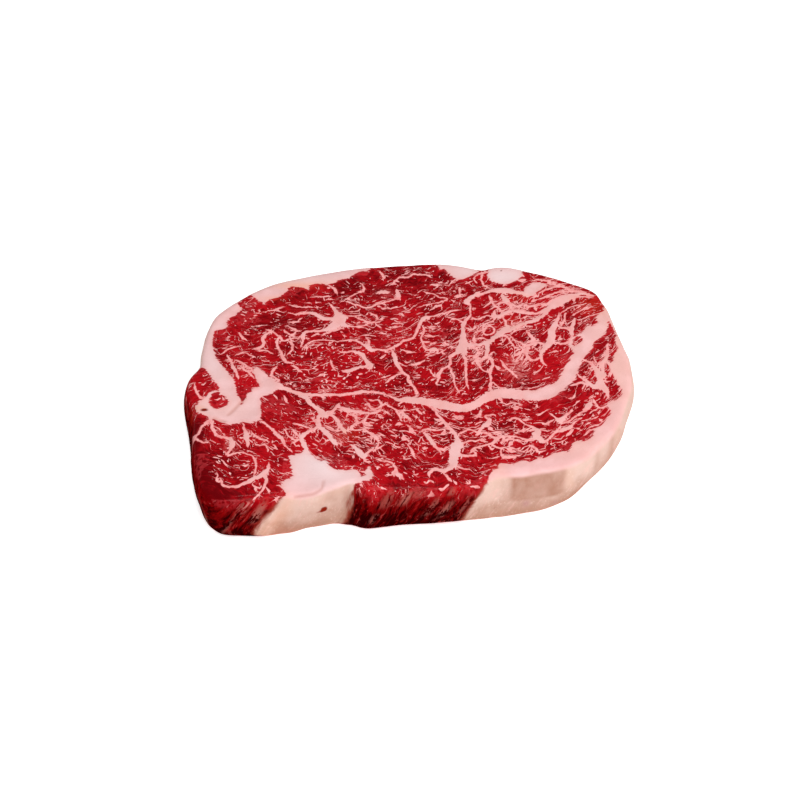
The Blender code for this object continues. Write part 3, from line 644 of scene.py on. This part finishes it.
# Fat stands a little proud of the lean, which has drawn back from it, and the finest veins barely show.
FAT_RISE = 0.16
FAT_BEVEL = 0.5
SEAM_RISE = 0.08
SEAM_BEVEL = 0.4
CREASE_DEPTH = 0.25
CREASE_REACH = 0.8
FOOT = 3.0         # height below which the relief dies away, so that the sole stays flat
SOLE_LEVEL = 0.12  # height below which knots lie flat on the sole's level
proud = FAT_RISE / (1 + np.exp(fat_edge / FAT_BEVEL)) + SEAM_RISE / (1 + np.exp(seam_edge / SEAM_BEVEL))
crease = share(beside_lines(plan, plan_lines(CREASES, CREASE_WIDTHS))[0], CREASE_REACH, 0)
proud = (proud - CREASE_DEPTH * crease) * share(knots[:, 2], 0, FOOT)
moved = knots + normals * proud[:, None]
moved[:, 2] = np.where(moved[:, 2] < SOLE_LEVEL, 0, moved[:, 2])
steak.data.vertices.foreach_set("co", (moved * MM).ravel())
steak.data.update()


def wall_marks(spots, firmness, lean=0.0):
    """Spots on the front wall alone, which may lean."""
    face = np.stack([knots[:, 0] + lean * below, knots[:, 2]], axis=1)
    leaned = [(x + lean * (THICKNESS - z), z, *rest) for x, z, *rest in spots]
    return on_front * spread(face, leaned, firmness)


marks = {
    "broad": broad, "seam_edge": seam_edge, "seam_aside": seam_aside, "seam_width": seam_width,
    "wall": wall, "crease": crease,
    "streaky": spread(plan, STREAKY), "netted": spread(plan, NETTED), "speckled": spread(plan, SPECKLED),
    "plain": spread(plan, PLAIN), "dark": spread(plan, DARK), "orange": spread(plan, ORANGE),
    "greyed": (1 - wall) * spread(plan, GREYED),
    "red_spot": np.maximum((1 - wall) * spread(plan, PITS), wall_marks(WALL_RED, FIRM)),
    "tan": np.maximum(wall_marks(WALL_TAN, SOFT), wall_marks(WALL_PATCH, BOXY)),
    "pale": wall_marks(WALL_PALE, FIRMER, STREAK_LEAN), "purple": wall_marks(WALL_PURPLE, SOFT),
    "lilac": spread(plan, LILAC), "peach": spread(plan, PEACH)}
for name, values in marks.items():
    steak.data.attributes.new(name, "FLOAT", "POINT").data.foreach_set("value", values)
grain = grain_frame(plan, THICKNESS - below * (1 + WALL_WEAVE * wall), fat_edge)
steak.data.attributes.new("grain", "FLOAT_VECTOR", "POINT").data.foreach_set("vector", grain.ravel())


class Socket:
    """An output of the beef's shader. Arithmetic on it adds Math nodes, and node() adds any other."""

    def __init__(self, tree, output=None):
        self.tree = tree
        self.output = output

    def node(self, kind, settings=(), sockets=(), output=0):
        """A new node: its settings first, then the values or links of its sockets."""
        made = self.tree.nodes.new(kind)
        for name, value in dict(settings).items():
            setattr(made, name, value)
        for name, value in dict(sockets).items():
            if isinstance(value, Socket):
                self.tree.links.new(value.output, made.inputs[name])
            else:
                made.inputs[name].default_value = value
        return Socket(self.tree, made.outputs[output] if len(made.outputs) else None)

    def maths(self, operation, first, second=0.0):
        """A Math node of one value or two."""
        return self.node("ShaderNodeMath", {"operation": operation}, {0: first, 1: second})

    def __add__(self, other):
        return self.maths("ADD", self, other)

    def __sub__(self, other):
        return self.maths("SUBTRACT", self, other)

    def __rsub__(self, other):
        return self.maths("SUBTRACT", other, self)

    def __mul__(self, other):
        return self.maths("MULTIPLY", self, other)

    def __abs__(self):
        return self.maths("ABSOLUTE", self)

    def most(self, other):
        """The larger of two values."""
        return self.maths("MAXIMUM", self, other)

    def step(self, low, high):
        """A smooth step from 0 at low to 1 at high, where low may be the larger."""
        return self.node("ShaderNodeMapRange", {"interpolation_type": "SMOOTHSTEP"},
                         {"Value": self, "From Min": low, "From Max": high})

    def times(self, factors):
        """This vector with each part multiplied by its own factor."""
        return self.node("ShaderNodeVectorMath", {"operation": "MULTIPLY"}, {0: self, 1: factors})

    def plus(self, other):
        """The sum of this vector and another."""
        return self.node("ShaderNodeVectorMath", {"operation": "ADD"}, {0: self, 1: other})

    def noise(self, detail=2.0, roughness=0.5, output=0):
        """Noise at this place, one lump per unit, about 0.5."""
        return self.node("ShaderNodeTexNoise", (), {"Vector": self, "Scale": 1.0, "Detail": detail,
                                                    "Roughness": roughness}, output)

    def stitch(self, size):
        """Small strokes, at most one to a unit cell, of at most this radius and of random size."""
        far, chance = (self.node("ShaderNodeTexVoronoi", {"feature": "F1"}, {"Vector": self, "Scale": 1.0},
                                 output) for output in (0, 1))
        chance = self.node("ShaderNodeSeparateXYZ", (), {0: chance})
        return (far - (chance * 0.4 - 0.17) - size).step(0.02, -0.03)

    def cell_wall(self):
        """How far this place is from the nearest wall between random cells, about one to a unit."""
        return self.node("ShaderNodeTexVoronoi", {"feature": "DISTANCE_TO_EDGE"},
                         {"Vector": self, "Scale": 1.0})

    def wander(self, per_mm, reach):
        """A random shift of up to about reach millimetres each way, which drifts from place to place."""
        return self.times(per_mm).noise(1.0, 0.5, 1).plus((-0.5, -0.5, -0.5)).times((reach, reach, reach))

    def tint(self, first, second):
        """The colour mixed from first to second by this share."""
        return self.node("ShaderNodeMix", {"data_type": "RGBA"}, {0: self, 6: first, 7: second}, 2)


def linear(red, green, blue):
    """A colour read from 0 to 255 as a display shows it, as Blender holds it."""
    shown = (red / 255, green / 255, blue / 255)
    return (*(c / 12.92 if c <= 0.04045 else ((c + 0.055) / 1.055) ** 2.4 for c in shown), 1.0)


# In the maths below, the numbers given to times() are lumps of noise or cells per millimetre along, across
# and up, those given to plus() only set one noise apart from another, and noises lie about 0.5.
STRAY_SLOW = ((0.06, 0.06, 0.03), 9)  # two ways in which the grain wanders: per millimetre, and how far
STRAY_FAST = ((0.3, 0.3, 0.1), 2.2)


def places(start):
    """What every part of the finish is made from: the marks, the places and the slow noises."""
    at = SimpleNamespace()
    for name in marks:
        setattr(at, name, start.node("ShaderNodeAttribute", {"attribute_name": name}, (), 2))
    at.grain = start.node("ShaderNodeAttribute", {"attribute_name": "grain"}, (), 1)
    at.place = start.node("ShaderNodeTexCoord", (), (), 3).times((1 / MM, 1 / MM, 1 / MM))
    at.height = start.node("ShaderNodeSeparateXYZ", (), {0: at.place}, 2)
    at.lumps = at.place.times((0.25, 0.25, 0.15)).noise(2)
    at.nicks = at.place.times((0.9, 0.9, 0.5)).noise(2)

    # the grain drifts and wavers, so that no stroke is straight
    at.bent = at.grain.plus(at.grain.wander(*STRAY_SLOW)).plus(at.grain.wander(*STRAY_FAST))

    # on the wall, away from its rim, the fibres are seen from the side, as streaks through the thickness
    at.deep = at.wall * (at.height + (at.lumps - 0.5) * 12).step(26, 18)
    at.strand = at.grain.plus(at.grain.wander(*STRAY_FAST)).times((0.6, 0.6, 0.05)).noise(3, 0.65)
    return at


def lay_fat(at):
    """Where fat lies in broad areas and in drawn seams, with ragged edges that are softer on the wall."""
    soft = at.wall * 0.9 + 0.25
    fringe = at.bent.times((0.2, 0.8, 0.06)).plus((6, 3, 5)).noise(2.5, 0.6)
    broad_fat = (at.broad + (at.lumps - 0.5) * 0.8 + (fringe - 0.5) * 3.4 + 0.1).step(soft, 0 - soft)
    squirm = at.place.times((0.3, 0.3, 0.15)).plus((5, 2, 7)).noise(2.5, 0.6)
    at.seam_off = abs(at.seam_aside + (squirm - 0.5) * 2.2) - at.seam_width * (at.nicks * 0.8 + 0.6)
    at.seam = (at.seam_off - at.wall * 0.3).step(0.12, -0.12) * at.seam_edge.step(0.85, 0.5)
    at.fat = broad_fat.most(at.seam * at.seam_width.step(0.55, 0.95))


def lay_marbling(at):
    """Where marbling lies: dashes, strokes, dots, threads and a net, with the finer seams among them."""
    # dashes of fat along the grain, closer together where the face is streaky
    at.dash_noise = at.bent.times((0.15, 0.6, 0.04)).noise(1.5, 0.5) + at.streaky * 0.055
    dash = at.dash_noise.step(0.655, 0.675)

    # short strokes and dots, one to a cell and many cells without one
    stroke = at.bent.times((0.2, 0.72, 0.05)).stitch(at.streaky * 0.09 + 0.05)
    at.dot = at.bent.plus((40, 70, 20)).times((0.6, 0.85, 0.1)).stitch(at.speckled * 0.14 - 0.02)

    # fine threads of fat: the ridges of a noise, where a slower one allows them
    room = at.grain.times((0.1, 0.1, 0.03)).plus((3, 8, 1)).noise(1.0)
    ridge = abs(at.bent.times((0.13, 0.3, 0.03)).plus((9, 4, 2)).noise(1.0) - 0.5)
    thread = (ridge - (room - 0.43) * 0.06).step(0.005, -0.005)

    # the net of veins round the cells of lean, and a finer and more broken one inside it
    net = at.bent.times((0.2, 0.26, 0.03)).cell_wall() - (room + at.netted * 0.3 - 0.7) * 0.35
    fine_room = at.place.times((0.35, 0.35, 0.1)).plus((7, 1, 4)).noise(1.0)
    fine_room = fine_room + at.netted * 0.07 + at.streaky * 0.07 - 0.6
    fine_net = at.bent.times((0.34, 0.5, 0.05)).cell_wall() - fine_room * 0.4
    net = net.step(0.015, -0.015).most(fine_net.step(0.015, -0.015))

    # slow noise thins them out, more in the dark places, and none are left on the plain corner
    kept = (at.lumps + at.nicks * 0.8 + at.streaky * 0.15 - at.dark * 0.14).step(0.55, 0.95)
    marble = dash.most(stroke).most(at.dot).most(thread).most(net)
    marble = (marble * kept * (1 - at.plain)).step(0.25, 0.65)

    # deep on the wall they give way to strands of fat between the fibres
    marble = marble * (1 - at.deep * 0.35) * (1 - at.deep * at.strand.step(0.56, 0.44) * 0.8)
    marble = marble.most(at.seam * (1 - at.deep * 0.7))
    at.marble = marble.most(at.deep * at.strand.step(0.62, 0.7) * 0.3)


def meat_colour(at):
    """The lean with its marbling: crimson, paler by the fat, and darker towards the foot of the wall in
    painted shade.
    """
    drift = at.place.times((0.08, 0.08, 0.05)).noise(3)
    fibre = at.bent.times((0.35, 1.5, 0.1)).noise(3, 0.6)
    shade = drift * 0.8 + fibre * 1.2 - at.dark * 0.15 - at.plain * 0.35
    lean = shade.step(0.6, 1.3).tint(linear(100, 0, 5), linear(184, 14, 24))
    halo = at.dash_noise.step(0.6, 0.67) * (1 - at.plain) * 0.3
    halo = halo.most(at.broad.step(1.6, 0.0) * at.nicks * 0.5)
    halo = halo.most(at.seam_off.step(0.6, 0.0) * at.nicks * 0.6)
    lean = halo.tint(lean, linear(204, 60, 66))
    # painted shade: the lean on the wall darkens towards the foot, nearly to black, streaked by the fibres
    lean_foot_shade = (at.height + (at.strand - 0.5) * 80).step(0, 34)
    wall_lean = lean_foot_shade.tint(linear(38, 0, 1), linear(132, 6, 8))
    lean = (at.wall * 0.25).most(at.deep).tint(lean, wall_lean)
    border = at.wall * (at.broad + (at.nicks - 0.5) * 1.5).step(2.2, 0.2)
    lean = (border * 0.7).tint(lean, linear(140, 54, 40))
    lean = (at.orange * 0.35).tint(lean, linear(205, 50, 24))

    # the marbling is pinker where it is thin, and whitest in the dots, whose whiter tone is partly a painted
    # glint of wet sparkle
    full = (at.lumps * 0.6 + at.nicks * 0.6).step(0.4, 0.75)
    pale = full.tint(linear(228, 140, 138), linear(240, 170, 168))
    pale = at.dot.tint(pale, linear(244, 190, 188))
    pale = (at.wall * 0.25).most(at.deep).tint(pale, linear(150, 58, 54))
    meat = at.marble.tint(lean, pale)

    # pale streaks on the wall, and a few greyed spots on the cut face
    streak = at.pale * (at.strand + (at.nicks - 0.5) * 0.5).step(0.42, 0.52)
    meat = (streak * 0.6).tint(meat, linear(168, 104, 94))
    return (at.greyed * fibre.step(0.5, 0.58) * 0.8).tint(meat, linear(228, 160, 156))


def fat_colour(at):
    """The broad fat: pink-white on the cut face, and cream on the wall with tan stains, with painted shade at
    its foot.
    """
    cloud = at.place.times((0.12, 0.12, 0.12)).noise(3)
    top = cloud.step(0.35, 0.68).tint(linear(225, 173, 170), linear(235, 186, 185))
    top = (at.lilac * 0.85).tint(top, linear(230, 206, 206))
    top = (at.peach * 0.5).tint(top, linear(234, 182, 168))
    top = (at.broad.step(-2.5, 0.5) * 0.5 * at.lumps).tint(top, linear(232, 140, 132))

    # painted shade: the fat on the wall turns greyer and darker towards the foot
    fat_foot_shade = (at.height + (cloud - 0.5) * 30).step(0, 24)
    side = fat_foot_shade.tint(linear(174, 132, 114), linear(211, 178, 166))
    stain = at.place.times((0.07, 0.07, 0.05)).noise(3).step(0.5, 0.7)
    side = (stain * 0.4).tint(side, linear(206, 160, 138))
    side = (at.strand.step(0.5, 0.7) * 0.35).tint(side, linear(226, 176, 168))
    side = (at.nicks.step(0.55, 0.8) * 0.4).tint(side, linear(228, 200, 186))
    # tan marks: stains, with painted shade where the wedge's fat ends and a darker foot
    side = (at.tan * (at.lumps * 0.7 + 0.35)).tint(side, linear(160, 112, 92))
    side = (at.purple * 0.7).tint(side, linear(170, 120, 122))

    colour = at.wall.tint(top, side)
    colour = (at.orange * 0.45).tint(colour, linear(236, 160, 120))
    # painted shade: the fat darkens to brown in its creases
    return (at.crease * 0.4).tint(colour, linear(176, 108, 88))


def raw_beef():
    """The one finish of the slice: crimson lean with pink-white marbling, seams and edges of fat."""
    material = bpy.data.materials.new("raw_beef")
    material.use_nodes = True
    tree = material.node_tree
    tree.nodes.clear()
    start = Socket(tree)
    at = places(start)
    lay_fat(at)
    lay_marbling(at)
    colour = at.fat.tint(meat_colour(at), fat_colour(at))
    colour = at.red_spot.step(0.2, 0.85).tint(colour, linear(124, 30, 16))

    pores = at.place.times((1.6, 1.6, 1.2)).noise(3, 0.6)
    bump = start.node("ShaderNodeBump", (), {"Strength": 0.35, "Distance": 0.4 * MM,
                                             "Height": pores + at.marble * 0.5 + at.fat * 0.3})
    beef = start.node("ShaderNodeBsdfPrincipled", (), {
        "Base Color": colour, "Roughness": 0.5, "Normal": bump, "Specular IOR Level": 0.0,
        "Coat Weight": (1 - at.wall) * 0.12, "Coat Roughness": 0.18})
    start.node("ShaderNodeOutputMaterial", (), {"Surface": beef})
    return material


steak.data.materials.append(raw_beef())
steak.data.shade_smooth()
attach(steak, "root")
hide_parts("steak")

# The table: a plain white sweep, wide enough to fill the picture from every side, just under the sole. It
# glows a little, so that it stays white where the light falls off.
TABLE_SIZE = 6.0
TABLE_DROP = 0.1 * MM
TABLE_WHITE = (0.95, 0.95, 0.95, 1)
TABLE_GLOW = 0.45
form = bmesh.new()
bmesh.ops.create_grid(form, x_segments=1, y_segments=1, size=TABLE_SIZE / 2)
bmesh.ops.translate(form, verts=form.verts, vec=(0, 0, -TABLE_DROP))
table_mesh = bpy.data.meshes.new("table")
form.to_mesh(table_mesh)
form.free()
table = bpy.data.objects.new("table", table_mesh)
bpy.context.collection.objects.link(table)
white = bpy.data.materials.new("table_white")
white.use_nodes = True
matt = white.node_tree.nodes["Principled BSDF"].inputs
matt["Base Color"].default_value = TABLE_WHITE
matt["Roughness"].default_value = 0.9
matt["Specular IOR Level"].default_value = 0.0
matt["Emission Color"].default_value = (1, 1, 1, 1)
matt["Emission Strength"].default_value = TABLE_GLOW
table_mesh.materials.append(white)

# The light: a dim white room, with large soft lamps above the front and on the right, and a small one behind.
SKY = 0.3
LAMPS = (
    # place in metres, size in metres, power in watts
    ((0.12, -1.0, 1.45), 1.2, 23.0),
    ((1.1, -0.3, 1.1), 0.9, 8.5),
    ((-0.15, 0.55, 1.5), 0.15, 2.0),
)
room = bpy.data.worlds.new("room")
room.use_nodes = True
backdrop = room.node_tree.nodes["Background"].inputs
backdrop["Color"].default_value = (1, 1, 1, 1)
backdrop["Strength"].default_value = SKY
bpy.context.scene.world = room
for number, (place, size, power) in enumerate(LAMPS):
    light = bpy.data.lights.new(f"lamp_{number}", "AREA")
    light.size = size
    light.energy = power
    lamp = bpy.data.objects.new(f"lamp_{number}", light)
    lamp.location = place
    lamp.rotation_euler = (-lamp.location).to_track_quat("-Z", "Y").to_euler()
    bpy.context.collection.objects.link(lamp)
bpy.context.scene.view_settings.view_transform = "Standard"

# The camera has the view in which the places were read: along +y and down at 45 degrees.
lens = bpy.data.cameras.new("camera")
lens.lens = LENS
lens.sensor_width = SENSOR
camera = bpy.data.objects.new("camera", lens)
camera.location = EYE
camera.rotation_euler = (math.pi / 2 - ELEVATION, 0, 0)
bpy.context.collection.objects.link(camera)
bpy.context.scene.camera = camera
